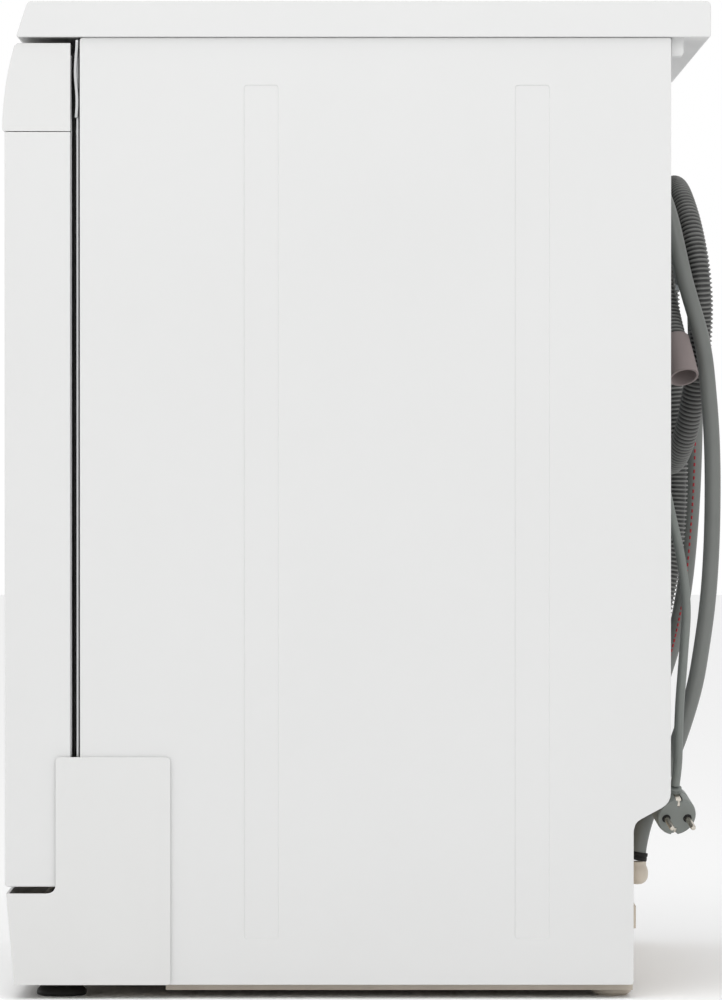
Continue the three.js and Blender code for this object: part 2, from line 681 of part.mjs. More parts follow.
function curveOf(route) {
  return new THREE.CatmullRomCurve3(route.map((p) => new THREE.Vector3(...p)));
}

function hose(route, radius, sides, steps) {
  const extrudePath = curveOf(route);
  return new THREE.ExtrudeGeometry(ring(radius, sides), { steps, bevelEnabled: false, extrudePath });
}

// A turned piece stood on the far end of a hose, its axis along the hose.
function onHoseEnd(profile, route, segments = 16) {
  const way = curveOf(route).getTangent(1);
  const turn = new THREE.Quaternion().setFromUnitVectors(new THREE.Vector3(0, 0, 1), way);
  return turned(profile, [0, 0, 0], 'z', segments).applyQuaternion(turn).translate(...route.at(-1));
}

function addCradle() {
  const arch = (radius) => {
    const shape = new THREE.Shape();
    shape.absarc(CRADLE_X, CRADLE_Z, radius, 0, Math.PI, false);
    return shape;
  };
  const back = BACK_PANEL_Y + PANEL_SHEET + GAP;
  place('hose_cradle', 'grey_plastic', cut(
    alongY(arch(CRADLE_RADIUS), back, 291, 16),
    alongY(arch(CRADLE_RADIUS - 4), back + 3, 292, 16),
  ));
}

function addDrainHose() {
  const back = BACK_PANEL_Y + PANEL_SHEET + GAP;
  const [x, y, z] = DRAIN_EXIT;
  const barrel = disc(9.6, [z - 30, z - GAP], [x, y, 0]);
  const stub = disc(8, [back - y, 0], [x, y, z - 18], 'y', 20);
  place('drain_elbow', 'grey_plastic', join(barrel, stub));
  place('drain_hose', 'hose_grey', hose(DRAIN_ROUTE, DRAIN_RADIUS, 8, 66));
  const cuff = [[0, END_GAP], [12.6, END_GAP], [13, 12], [13.2, 42], [10.6, 42], [10.4, 12], [0, 12]];
  place('drain_cuff', 'cuff_taupe', onHoseEnd(cuff, DRAIN_ROUTE));
}

function addInletHose() {
  const [x, y, z] = INLET_EXIT;
  const low = INLET_PORT_Z - 10;
  const top = z - END_GAP;
  const profile = [[0, low], [7, low + 1], [9.5, low + 5], [9.5, low + 16], [8.8, top], [0, top]];
  const barrel = turned(profile, [x, y, 0]);
  const stub = disc(8, [226.4 - y, 0], [x, y, INLET_PORT_Z], 'y', 20);
  place('inlet_elbow', 'cream_plastic', join(barrel, stub));
  place('inlet_hose', 'hose_grey', hose(INLET_ROUTE, INLET_RADIUS, 8, 60));
  const nut = [[0, GAP], [10, GAP], [13, 4], [14.6, 10], [14.6, 30], [11, 30], [11, 18], [0, 18]];
  place('inlet_nut', 'grey_plastic', onHoseEnd(nut, INLET_ROUTE));
}

function addMainsLead() {
  const back = BACK_PANEL_Y + PANEL_SHEET + GAP;
  const [x, y, z] = LEAD_EXIT;
  const relief = turned([[0, z - 38], [6, z - 38], [5, z - GAP], [0, z - GAP]], [x, y + 0.6, 0], 'z', 16);
  const root = box([x - 11, x + 11], [back, back + 7], [z - 46, z - 18]);
  place('mains_gland', 'black_plastic', join(relief, root));
  place('mains_lead', 'hose_grey', hose(LEAD_ROUTE, LEAD_RADIUS, 8, 72));
}

// The plug hangs askew from the lead's end, which is the origin it is drawn about.
function hung(geometry) {
  return geometry.rotateY(PLUG_TIP).rotateZ(PLUG_SWING).translate(...LEAD_ROUTE.at(-1));
}

function addPlug() {
  const casing = [[0, -18], [13, -18], [17.5, -12], [17.5, 15], [16.5, 16], [0, 16]];
  const face = hung(turned(casing, [0, 0, -PLUG_DROP], 'x'));
  const neck = hung(disc(6.5, [8 - PLUG_DROP, -END_GAP], [0, 0, 0], 'z', 16));
  const pins = [-9.5, 9.5].map((y) => hung(disc(2.4, [14, 35], [0, y, -1 - PLUG_DROP], 'x', 12)));
  place('mains_plug', 'hose_grey', join(face, neck, ...pins));
}

addWorktop();
addSidePanels();
addBackPanel();
addBase();
addFeet();
addPlinth();
addDoorPanel();
addFascia();
addDoorLiner();
addDispenser();
addHinges();
addDoorSprings();
addLatch();
addTub();
addUpperRack();
addLowerRack();
addCutleryBasket();
addSprayArms();
addSump();
addPumps();
addCradle();
addDrainHose();
addInletHose();
addMainsLead();
addPlug();

export default machine;
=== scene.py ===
import json
import math

import bmesh
import bpy
from mathutils import Matrix, Vector

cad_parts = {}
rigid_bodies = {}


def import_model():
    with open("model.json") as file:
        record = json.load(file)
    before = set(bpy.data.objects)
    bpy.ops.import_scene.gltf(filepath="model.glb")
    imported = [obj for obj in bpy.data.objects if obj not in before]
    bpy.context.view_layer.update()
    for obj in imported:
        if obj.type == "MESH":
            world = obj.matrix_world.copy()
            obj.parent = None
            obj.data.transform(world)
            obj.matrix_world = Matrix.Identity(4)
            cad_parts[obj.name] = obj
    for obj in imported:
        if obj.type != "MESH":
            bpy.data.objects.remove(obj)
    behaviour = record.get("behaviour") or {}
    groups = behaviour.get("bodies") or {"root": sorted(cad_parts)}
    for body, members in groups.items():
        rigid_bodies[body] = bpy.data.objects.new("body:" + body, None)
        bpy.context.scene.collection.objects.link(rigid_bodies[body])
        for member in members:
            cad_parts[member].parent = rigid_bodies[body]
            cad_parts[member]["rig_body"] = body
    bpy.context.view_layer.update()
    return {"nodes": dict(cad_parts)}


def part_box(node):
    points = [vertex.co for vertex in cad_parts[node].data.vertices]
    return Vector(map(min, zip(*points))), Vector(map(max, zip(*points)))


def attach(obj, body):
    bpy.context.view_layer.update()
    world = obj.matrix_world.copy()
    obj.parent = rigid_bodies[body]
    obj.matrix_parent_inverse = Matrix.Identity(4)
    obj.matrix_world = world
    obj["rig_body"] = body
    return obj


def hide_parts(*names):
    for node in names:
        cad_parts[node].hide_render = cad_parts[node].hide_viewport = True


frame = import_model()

NODES = frame["nodes"]
MM = 0.001
scene = bpy.context.scene

# ---- studio: camera, floor and lights ----

CAMERA_DISTANCE = 4.9
CAMERA_HEIGHT = 0.46
FRAME_HEIGHT = 0.8462  # of the object's near side, filling the picture
SENSOR = 36.0
LOOK_AT = Vector((0.0, 0.0040, 0.4228))


def add_camera():
    data = bpy.data.cameras.new("studio_camera")
    camera = bpy.data.objects.new("studio_camera", data)
    scene.collection.objects.link(camera)
    near_side = NODES["worktop"].bound_box[6][0]
    camera.location = (near_side + CAMERA_DISTANCE, LOOK_AT.y, CAMERA_HEIGHT)
    target = Vector((near_side, LOOK_AT.y, LOOK_AT.z))
    direction = target - camera.location
    camera.rotation_euler = direction.to_track_quat("-Z", "Y").to_euler()
    data.sensor_width = SENSOR
    data.lens = SENSOR * direction.length / FRAME_HEIGHT
    data.clip_end = 60
    scene.camera = camera


def add_floor():
    mesh = bpy.data.meshes.new("studio_floor")
    reach = 14.0
    corners = [(-reach, -reach, 0), (reach, -reach, 0), (reach, reach, 0), (-reach, reach, 0)]
    mesh.from_pydata(corners, [], [(0, 1, 2, 3)])
    floor = bpy.data.objects.new("studio_floor", mesh)
    scene.collection.objects.link(floor)
    material = bpy.data.materials.new("pale_floor")
    material.use_nodes = True
    shader = material.node_tree.nodes["Principled BSDF"]
    shader.inputs["Base Color"].default_value = (0.93, 0.93, 0.93, 1)
    shader.inputs["Roughness"].default_value = 0.9
    shader.inputs["Specular IOR Level"].default_value = 0.1
    mesh.materials.append(material)


def add_soft_light(name, place, aim, size, power):
    data = bpy.data.lights.new(name, "AREA")
    data.shape = "RECTANGLE"
    data.size, data.size_y = size
    data.energy = power
    light = bpy.data.objects.new(name, data)
    light.location = place
    light.rotation_euler = (Vector(aim) - Vector(place)).to_track_quat("-Z", "Y").to_euler()
    scene.collection.objects.link(light)


def add_lights():
    world = bpy.data.worlds.new("studio_white")
    world.use_nodes = True
    background = world.node_tree.nodes["Background"]
    background.inputs["Color"].default_value = (1.0, 1.0, 1.0, 1)
    background.inputs["Strength"].default_value = 1.0
    tree = world.node_tree
    across = node(tree, "ShaderNodeTexCoord").outputs["Generated"]
    rearward = node(tree, "ShaderNodeSeparateXYZ", [("Vector", across)]).outputs["Y"]
    fall = node(tree, "ShaderNodeMapRange", [("Value", rearward)], interpolation_type="SMOOTHSTEP")
    fall.inputs["From Min"].default_value = 0.2
    fall.inputs["From Max"].default_value = 0.95
    fall.inputs["To Min"].default_value = 1.0
    fall.inputs["To Max"].default_value = 0.6
    tree.links.new(fall.outputs["Result"], background.inputs["Strength"])
    scene.world = world
    add_soft_light("overhead_bank", (1.5, 0.0, 2.3), (0.2, 0, 0.75), (2.4, 2.4), 22)
    add_soft_light("front_bank", (2.6, -2.6, 1.5), (0, 0, 0.45), (1.6, 2.4), 3.0)
    add_soft_light("rear_bank", (2.2, 2.8, 1.3), (0.1, 0.2, 0.45), (1.2, 2.2), 2.0)
    scene.view_settings.view_transform = "Standard"


# ---- material groups ----

def new_group(name, inputs, outputs):
    group = bpy.data.node_groups.new(name, "ShaderNodeTree")
    for label, kind, value in inputs:
        group.interface.new_socket(name=label, in_out="INPUT", socket_type=kind).default_value = value
    for label, kind in outputs:
        group.interface.new_socket(name=label, in_out="OUTPUT", socket_type=kind)
    return group, group.nodes.new("NodeGroupInput"), group.nodes.new("NodeGroupOutput")


def node(tree, kind, links=(), **settings):
    """A node with its settings, and links as (input name or number, source socket)."""
    made = tree.nodes.new(kind)
    for key, value in settings.items():
        if key in made.inputs:
            made.inputs[key].default_value = value
        else:
            setattr(made, key, value)
    for key, source in links:
        tree.links.new(source, made.inputs[key])
    return made


def remap(tree, source, low, high):
    """source, 0 to 1, spread over low to high sockets or numbers."""
    made = tree.nodes.new("ShaderNodeMapRange")
    tree.links.new(source, made.inputs["Value"])
    for key, value in (("To Min", low), ("To Max", high)):
        if isinstance(value, (int, float)):
            made.inputs[key].default_value = value
        else:
            tree.links.new(value, made.inputs[key])
    return made.outputs["Result"]


SKIN_INPUTS = [
    ("Colour", "NodeSocketColor", (0.8, 0.8, 0.8, 1)),
    ("Shade", "NodeSocketColor", (0.7, 0.7, 0.7, 1)),
    ("Shade Scale", "NodeSocketFloat", 4.0),
    ("Roughness Low", "NodeSocketFloat", 0.3),
    ("Roughness High", "NodeSocketFloat", 0.5),
    ("Grain Scale", "NodeSocketFloat", 900.0),
    ("Streak", "NodeSocketVector", (1.0, 1.0, 1.0)),
    ("Soil", "NodeSocketFloat", 0.1),
]
SKIN_OUTPUTS = [
    ("Colour", "NodeSocketColor"),
    ("Roughness", "NodeSocketFloat"),
    ("Height", "NodeSocketFloat"),
]


def surface_skin():
    """Slow shade drift, handling smudges, fine grain and a trace of soil low down."""
    tree, inside, outside = new_group("surface_skin", SKIN_INPUTS, SKIN_OUTPUTS)
    given = inside.outputs
    place = node(tree, "ShaderNodeTexCoord").outputs["Object"]
    stretched = node(tree, "ShaderNodeVectorMath", [(0, place), (1, given["Streak"])], operation="MULTIPLY")
    drift = node(tree, "ShaderNodeTexNoise", [("Vector", place), ("Scale", given["Shade Scale"])], Detail=4.0)
    smudge = node(tree, "ShaderNodeTexNoise", [("Vector", place)], Scale=11.0, Detail=6.0, Distortion=0.6)
    grain = node(
        tree, "ShaderNodeTexNoise",
        [("Vector", stretched.outputs[0]), ("Scale", given["Grain Scale"])], Detail=3.0,
    )
    body = node(
        tree, "ShaderNodeMix",
        [("Factor", remap(tree, drift.outputs["Fac"], -0.3, 1.1))], data_type="RGBA",
    )
    tree.links.new(given["Colour"], body.inputs["A"])
    tree.links.new(given["Shade"], body.inputs["B"])
    height = node(tree, "ShaderNodeSeparateXYZ", [("Vector", place)]).outputs["Z"]
    low = node(tree, "ShaderNodeMapRange", [("Value", height)])
    low.inputs["From Min"].default_value = 0.14
    low.inputs["From Max"].default_value = 0.0
    soil = node(
        tree, "ShaderNodeMath", [(0, low.outputs["Result"]), (1, smudge.outputs["Fac"])],
        operation="MULTIPLY",
    )
    amount = node(tree, "ShaderNodeMath", [(0, soil.outputs[0]), (1, given["Soil"])], operation="MULTIPLY")
    soiled = node(tree, "ShaderNodeMix", [("Factor", amount.outputs[0])], data_type="RGBA")
    tree.links.new(body.outputs["Result"], soiled.inputs["A"])
    soiled.inputs["B"].default_value = (0.23, 0.20, 0.16, 1)
    rough = remap(tree, smudge.outputs["Fac"], given["Roughness Low"], given["Roughness High"])
    tree.links.new(soiled.outputs["Result"], outside.inputs["Colour"])
    tree.links.new(rough, outside.inputs["Roughness"])
    tree.links.new(grain.outputs["Fac"], outside.inputs["Height"])
    return tree


SKIN = surface_skin()


def finish(name, colour, shade, rough, grain=900.0, bump=0.05, bump_mm=0.05, metal=0.0, coat=0.0,
           streak=(1, 1, 1), shade_scale=4.0, soil=0.1, specular=0.5):
    """A Principled material whose colour, roughness and bump come from the shared skin."""
    material = bpy.data.materials.new(name)
    material.use_nodes = True
    tree = material.node_tree
    shader = tree.nodes["Principled BSDF"]
    skin = tree.nodes.new("ShaderNodeGroup")
    skin.node_tree = SKIN
    values = {
        "Colour": (*colour, 1), "Shade": (*shade, 1), "Shade Scale": shade_scale,
        "Roughness Low": rough[0], "Roughness High": rough[1], "Grain Scale": grain,
        "Streak": streak, "Soil": soil,
    }
    for key, value in values.items():
        skin.inputs[key].default_value = value
    relief = node(
        tree, "ShaderNodeBump", [("Height", skin.outputs["Height"])],
        Strength=bump, Distance=bump_mm * MM,
    )
    tree.links.new(skin.outputs["Colour"], shader.inputs["Base Color"])
    tree.links.new(skin.outputs["Roughness"], shader.inputs["Roughness"])
    tree.links.new(relief.outputs["Normal"], shader.inputs["Normal"])
    shader.inputs["Metallic"].default_value = metal
    shader.inputs["Coat Weight"].default_value = coat
    shader.inputs["Coat Roughness"].default_value = 0.12
    shader.inputs["Specular IOR Level"].default_value = specular
    return material


def paint_groove_shade(material, depth, shade):
    """Paints shade into the grooves: mixes the colour towards a dark painted shade by the mesh's own groove
    depth.
    """
    tree = material.node_tree
    shader = tree.nodes["Principled BSDF"]
    groove = node(tree, "ShaderNodeAttribute", attribute_name="groove")
    groove_shade_mask = node(tree, "ShaderNodeMapRange", [("Value", groove.outputs["Fac"])])
    groove_shade_mask.inputs["From Max"].default_value = depth
    groove_shade_mask.inputs["To Max"].default_value = 0.92
    mix = node(tree, "ShaderNodeMix", [("Factor", groove_shade_mask.outputs["Result"])], data_type="RGBA")
    tree.links.new(shader.inputs["Base Color"].links[0].from_socket, mix.inputs["A"])
    mix.inputs["B"].default_value = (*shade, 1)
    tree.links.new(mix.outputs["Result"], shader.inputs["Base Color"])


FINISHES = {
    "white_enamel": finish(
        "white_enamel", (0.665, 0.667, 0.664), (0.645, 0.647, 0.643), (0.30, 0.42),
        grain=420, bump=0.12, bump_mm=0.04, coat=0.25, soil=0.05),
    "white_laminate": finish(
        "white_laminate", (0.665, 0.667, 0.664), (0.65, 0.652, 0.649), (0.36, 0.5),
        grain=700, bump=0.15, bump_mm=0.05, soil=0.0),
    "white_plastic": finish(
        "white_plastic", (0.662, 0.664, 0.659), (0.642, 0.643, 0.636), (0.36, 0.5),
        grain=1500, bump=0.2, bump_mm=0.05, soil=0.08),
    "cream_plastic": finish(
        "cream_plastic", (0.70, 0.63, 0.54), (0.62, 0.55, 0.46), (0.45, 0.65),
        grain=1100, bump=0.3, bump_mm=0.08, soil=0.45),
    "black_plastic": finish(
        "black_plastic", (0.006, 0.006, 0.0065), (0.014, 0.014, 0.014), (0.45, 0.65),
        grain=1400, bump=0.35, bump_mm=0.08, soil=0.05, specular=0.25),
    "grey_plastic": finish(
        "grey_plastic", (0.26, 0.28, 0.29), (0.21, 0.23, 0.24), (0.4, 0.6),
        grain=1300, bump=0.25, bump_mm=0.06),
    "steel": finish(
        "steel", (0.62, 0.625, 0.63), (0.56, 0.565, 0.57), (0.26, 0.33),
        grain=260, bump=0.18, bump_mm=0.03, metal=1.0, streak=(0.05, 5.0, 5.0), soil=0.0),
    "zinc": finish(
        "zinc", (0.47, 0.48, 0.49), (0.34, 0.35, 0.36), (0.32, 0.55),
        grain=75, bump=0.1, bump_mm=0.05, metal=1.0, shade_scale=45.0, soil=0.2),
    "rubber": finish(
        "rubber", (0.028, 0.028, 0.028), (0.05, 0.05, 0.05), (0.6, 0.85),
        grain=1800, bump=0.3, bump_mm=0.08),
    "hose_grey": finish(
        "hose_grey", (0.185, 0.195, 0.184), (0.150, 0.158, 0.149), (0.34, 0.52),
        grain=1600, bump=0.25, bump_mm=0.05, shade_scale=14.0),
    "drain_grey": finish(
        "drain_grey", (0.215, 0.218, 0.208), (0.17, 0.173, 0.165), (0.40, 0.6),
        grain=1600, bump=0.25, bump_mm=0.05, shade_scale=14.0),
    "lead_grey": finish(
        "lead_grey", (0.205, 0.222, 0.208), (0.172, 0.187, 0.175), (0.38, 0.55),
        grain=1800, bump=0.3, bump_mm=0.05, shade_scale=14.0),
    "cuff_taupe": finish(
        "cuff_taupe", (0.245, 0.205, 0.200), (0.205, 0.17, 0.166), (0.62, 0.82),
        grain=1700, bump=0.4, bump_mm=0.08, shade_scale=20.0),
    "tracer_red": finish(
        "tracer_red", (0.42, 0.02, 0.03), (0.30, 0.015, 0.02), (0.4, 0.6),
        grain=1500, bump=0.2, bump_mm=0.04),
    "nickel": finish(
        "nickel", (0.66, 0.62, 0.55), (0.52, 0.48, 0.42), (0.18, 0.34),
        grain=500, bump=0.1, bump_mm=0.03, metal=1.0, shade_scale=60.0),
    "dark_glass": finish(
        "dark_glass", (0.008, 0.009, 0.011), (0.014, 0.015, 0.018), (0.05, 0.14),
        grain=300, bump=0.03, bump_mm=0.01, coat=0.6),
    "circuit_green": finish(
        "circuit_green", (0.015, 0.10, 0.05), (0.01, 0.07, 0.035), (0.3, 0.5),
        grain=300, bump=0.3, bump_mm=0.08),
}

RIB_DEPTH = 1.7  # of the corrugated hose, in millimetres
# Painted shade: the drain hose's grooves are darkened towards near black by their depth.
paint_groove_shade(FINISHES["drain_grey"], RIB_DEPTH * MM, (0.018, 0.018, 0.018))

# ---- mesh helpers ----

def new_object(name, mesh, material=None):
    piece = bpy.data.objects.new(name, mesh)
    scene.collection.objects.link(piece)
    if material:
        mesh.materials.clear()
        mesh.materials.append(FINISHES[material])
    return piece


def applied(piece):
    """The piece with its modifiers worked into a plain mesh."""
    ready = piece.evaluated_get(bpy.context.evaluated_depsgraph_get())
    mesh = bpy.data.meshes.new_from_object(ready, depsgraph=bpy.context.evaluated_depsgraph_get())
    mesh.name = piece.name
    piece.modifiers.clear()
    piece.data = mesh
    return piece


def smoothed(piece, angle=35):
    mesh = piece.data
    mesh.polygons.foreach_set("use_smooth", [True] * len(mesh.polygons))
    mesh.set_sharp_from_angle(angle=math.radians(angle))
    return piece


def level(piece, angle=40):
    """Smooth shading that keeps broad faces flat beside their rounded edges."""
    smoothed(piece, angle)
    weighted = piece.modifiers.new("flat_faces", "WEIGHTED_NORMAL")
    weighted.weight = 100
    weighted.keep_sharp = True


def eased(cad_node, material, width_mm=1.0, segments=2, name=None):
    """A copy of a CAD node with merged faces and rounded edges, which stands for it."""
    source = NODES[cad_node]
    work = bmesh.new()
    work.from_mesh(source.data)
    bmesh.ops.remove_doubles(work, verts=work.verts, dist=1e-6)
    bmesh.ops.dissolve_limit(
        work, angle_limit=math.radians(0.6), verts=work.verts, edges=work.edges,
    )
    mesh = bpy.data.meshes.new(cad_node)
    work.to_mesh(mesh)
    work.free()
    piece = new_object(name or f"{cad_node}_shell", mesh, material)
    bevel = piece.modifiers.new("edge", "BEVEL")
    bevel.width = width_mm * MM
    bevel.segments = segments
    bevel.limit_method = "ANGLE"
    bevel.angle_limit = math.radians(32)
    bevel.miter_outer = "MITER_ARC"
    level(piece)
    applied(piece)
    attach(piece, source["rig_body"])
    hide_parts(cad_node)
    return piece


def keep(cad_node, material):
    mesh = NODES[cad_node].data
    mesh.materials.clear()
    mesh.materials.append(FINISHES[material])


def lathe(name, profile, material, turn=Matrix.Identity(4), segments=40, angle=35):
    """A turned piece: (radius, height) in millimetres about Z, then placed by turn."""
    work = bmesh.new()
    rings = []
    for radius, height in profile:
        if radius < 1e-6:
            rings.append([work.verts.new((0, 0, height * MM))])
            continue
        rings.append([
            work.verts.new((
                radius * MM * math.cos(2 * math.pi * i / segments),
                radius * MM * math.sin(2 * math.pi * i / segments),
                height * MM,
            ))
            for i in range(segments)
        ])
    for low, high in zip(rings, rings[1:]):
        for i in range(segments):
            j = (i + 1) % segments
            face = [low[i % len(low)], low[j % len(low)], high[j % len(high)], high[i % len(high)]]
            work.faces.new(list(dict.fromkeys(face)))
    bmesh.ops.recalc_face_normals(work, faces=work.faces)
    work.transform(turn)
    mesh = bpy.data.meshes.new(name)
    work.to_mesh(mesh)
    work.free()
    return smoothed(new_object(name, mesh, material), angle)


def stood(point, direction=(0, 0, 1)):
    """A placement with +Z along direction and its origin at point, both in metres."""
    turn = Vector((0, 0, 1)).rotation_difference(Vector(direction)).to_matrix().to_4x4()
    return Matrix.Translation(Vector(point)) @ turn


def joined(name, pieces):
    """One mesh from several finished pieces, keeping their materials."""
    work = bmesh.new()
    materials = []
    for piece in pieces:
        mesh = piece.data
        start = len(materials)
        materials.extend(mesh.materials)
        first = len(work.faces)
        work.from_mesh(mesh)
        work.faces.ensure_lookup_table()
        for face in work.faces[first:]:
            face.material_index += start
    mesh = bpy.data.meshes.new(name)
    work.to_mesh(mesh)
    work.free()
    for material in materials:
        mesh.materials.append(material)
    for piece in pieces:
        bpy.data.objects.remove(piece)
    whole = bpy.data.objects.new(name, mesh)
    scene.collection.objects.link(whole)
    return whole


# ---- geometry-node trees ----

class Tree:
    """A geometry-node tree with named inputs, run once on an object."""

    def __init__(self, name, inputs):
        self.group = bpy.data.node_groups.new(name, "GeometryNodeTree")
        face = self.group.interface
        face.new_socket(name="Geometry", in_out="INPUT", socket_type="NodeSocketGeometry")
        face.new_socket(name="Geometry", in_out="OUTPUT", socket_type="NodeSocketGeometry")
        self.keys = {}
        for label, kind in inputs:
            self.keys[label] = face.new_socket(name=label, in_out="INPUT", socket_type=kind).identifier
        self.inside = self.group.nodes.new("NodeGroupInput")
        self.outside = self.group.nodes.new("NodeGroupOutput")

    def add(self, kind, links=(), **settings):
        return node(self.group, kind, links, **settings)

    def finish_with(self, source):
        """Ends the tree in Realize Instances and Set Material."""
        real = self.add("GeometryNodeRealizeInstances", [("Geometry", source)])
        coated = self.add("GeometryNodeSetMaterial", [
            ("Geometry", real.outputs["Geometry"]), ("Material", self.inside.outputs["Material"]),
        ])
        self.group.links.new(coated.outputs["Geometry"], self.outside.inputs["Geometry"])

    def run(self, piece, **values):
        """piece with the tree's result as its mesh. Values are given by input name."""
        modifier = piece.modifiers.new("tree", "NODES")
        modifier.node_group = self.group
        for label, value in values.items():
            modifier[self.keys[label.replace("_", " ")]] = value
        bpy.context.view_layer.update()
        deps = bpy.context.evaluated_depsgraph_get()
        mesh = bpy.data.meshes.new_from_object(piece.evaluated_get(deps), depsgraph=deps)
        name = piece.name
        bpy.data.objects.remove(piece)
        mesh.name = name
        made = bpy.data.objects.new(name, mesh)
        scene.collection.objects.link(made)
        return made


def ribbed_tube_tree():
    """A tube along a curve whose radius swells and narrows at a steady pitch."""
    tree = Tree("ribbed_tube", [
        ("Radius", "NodeSocketFloat"), ("Rib Depth", "NodeSocketFloat"),
        ("Pitch", "NodeSocketFloat"), ("Step", "NodeSocketFloat"),
        ("Sides", "NodeSocketInt"), ("Material", "NodeSocketMaterial"),
    ])
    given = tree.inside.outputs
    fine = tree.add("GeometryNodeResampleCurve", [
        ("Curve", given["Geometry"]), ("Length", given["Step"]),
    ], mode="LENGTH")
    along = tree.add("GeometryNodeSplineParameter").outputs["Length"]
    turns = tree.add("ShaderNodeMath", [(0, along), (1, given["Pitch"])], operation="DIVIDE")
    angle = tree.add("ShaderNodeMath", [(0, turns.outputs[0])], operation="MULTIPLY")
    angle.inputs[1].default_value = 2 * math.pi
    wave = tree.add("ShaderNodeMath", [(0, angle.outputs[0])], operation="COSINE")
    dip = tree.add("ShaderNodeMapRange", [("Value", wave.outputs[0]), ("To Max", given["Rib Depth"])])
    dip.inputs["From Min"].default_value = -0.75
    dip.inputs["From Max"].default_value = 0.45
    radius = tree.add(
        "ShaderNodeMath", [(0, given["Radius"]), (1, dip.outputs["Result"])], operation="SUBTRACT",
    )
    marked = tree.add("GeometryNodeStoreNamedAttribute", [
        ("Geometry", fine.outputs["Curve"]), ("Value", dip.outputs["Result"]),
    ], domain="POINT", Name="groove")
    circle = tree.add("GeometryNodeCurvePrimitiveCircle", [("Resolution", given["Sides"])], Radius=1.0)
    tube = tree.add("GeometryNodeCurveToMesh", [
        ("Curve", marked.outputs["Geometry"]), ("Profile Curve", circle.outputs["Curve"]),
        ("Scale", radius.outputs[0]),
    ])
    tube.inputs["Fill Caps"].default_value = True
    smooth = tree.add("GeometryNodeSetShadeSmooth", [("Geometry", tube.outputs["Mesh"])])
    tree.finish_with(smooth.outputs["Geometry"])
    return tree


RIBBED_TUBE = ribbed_tube_tree()


def wire_grid_tree():
    """Round wires along every edge of a mesh."""
    tree = Tree("wire_grid", [
        ("Radius", "NodeSocketFloat"), ("Sides", "NodeSocketInt"), ("Material", "NodeSocketMaterial"),
    ])
    given = tree.inside.outputs
    lines = tree.add("GeometryNodeMeshToCurve", [("Mesh", given["Geometry"])])
    circle = tree.add("GeometryNodeCurvePrimitiveCircle", [
        ("Resolution", given["Sides"]), ("Radius", given["Radius"]),
    ])
    wires = tree.add("GeometryNodeCurveToMesh", [
        ("Curve", lines.outputs["Curve"]), ("Profile Curve", circle.outputs["Curve"]),
    ])
    wires.inputs["Fill Caps"].default_value = True
    smooth = tree.add("GeometryNodeSetShadeSmooth", [("Geometry", wires.outputs["Mesh"])])
    tree.finish_with(smooth.outputs["Geometry"])
    return tree


WIRE_GRID = wire_grid_tree()


def studs_tree():
    """A copy of one small shape at every point of a mesh."""
    tree = Tree("studs", [("Shape", "NodeSocketObject"), ("Material", "NodeSocketMaterial")])
    given = tree.inside.outputs
    shape = tree.add("GeometryNodeObjectInfo", [("Object", given["Shape"])])
    points = tree.add("GeometryNodeMeshToPoints", [("Mesh", given["Geometry"])])
    copies = tree.add("GeometryNodeInstanceOnPoints", [
        ("Points", points.outputs["Points"]), ("Instance", shape.outputs["Geometry"]),
    ])
    tree.finish_with(copies.outputs["Instances"])
    return tree


STUDS = studs_tree()


def points_object(name, points, edges=()):
    mesh = bpy.data.meshes.new(name)
    mesh.from_pydata([tuple(p) for p in points], list(edges), [])
    return new_object(name, mesh)


def studded(name, shape, points, material, body):
    """Copies of shape, made about the origin, at each of the points."""
    made = STUDS.run(points_object(name, points), Shape=shape, Material=FINISHES[material])
    bpy.data.objects.remove(shape)
    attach(smoothed(made), body)
    return made


# ---- hoses and mains lead, on the routes of the part's source ----

DRAIN_ROUTE = [
    (-19, 258.6, 222), (-19, 260, 262), (-20, 272, 312), (-20, 283, 366), (-20, 288, 425),
    (-19.6, 287.5, 485.3), (-19.3, 283, 550.5), (-19, 280.4, 613), (-5, 280.4, 657),
    (26, 280.4, 687), (70, 281, 698), (114, 285, 687), (145, 292, 657), (159.5, 298.5, 615),
    (154.5, 300, 575.6), (146, 296, 525.2), (118, 288, 477.1), (70, 278, 454), (21, 267, 471),
    (-11, 260, 509.9), (-19.3, 258.8, 561.5), (-19.2, 258.8, 613), (-5, 258.8, 657),
    (26, 258.8, 687), (70, 258.8, 698), (114, 258.8, 687), (145.5, 260.8, 656),
    (155.5, 264.5, 629), (161.5, 267.5, 606), (169.5, 271, 583.1), (182, 275.2, 562.6),
]
INLET_ROUTE = [
    (200, 242.5, 111.6), (200, 244.4, 125.5), (200, 247.9, 140.5), (200, 253.5, 157),
    (200, 261.5, 177), (199, 271, 197), (198, 282, 226), (197, 292.5, 262), (196, 299, 299),
    (194, 304, 337), (190, 307, 377), (184, 308.5, 420), (178, 308.5, 465), (175, 306, 509.9),
    (177, 300, 558.2), (183.5, 284.5, 613), (170, 273, 666), (140, 263.5, 699), (105, 258, 718),
    (70, 257, 723), (35, 259, 719), (2, 272, 703), (-26, 290, 671), (-41, 303, 629),
    (-45, 306.5, 583.1), (-46, 307, 523), (-47, 306, 460), (-48, 303, 400), (-49, 297, 340),
    (-50, 287, 290), (-51, 275, 250), (-51, 267.5, 218), (-51, 266, 202),
]
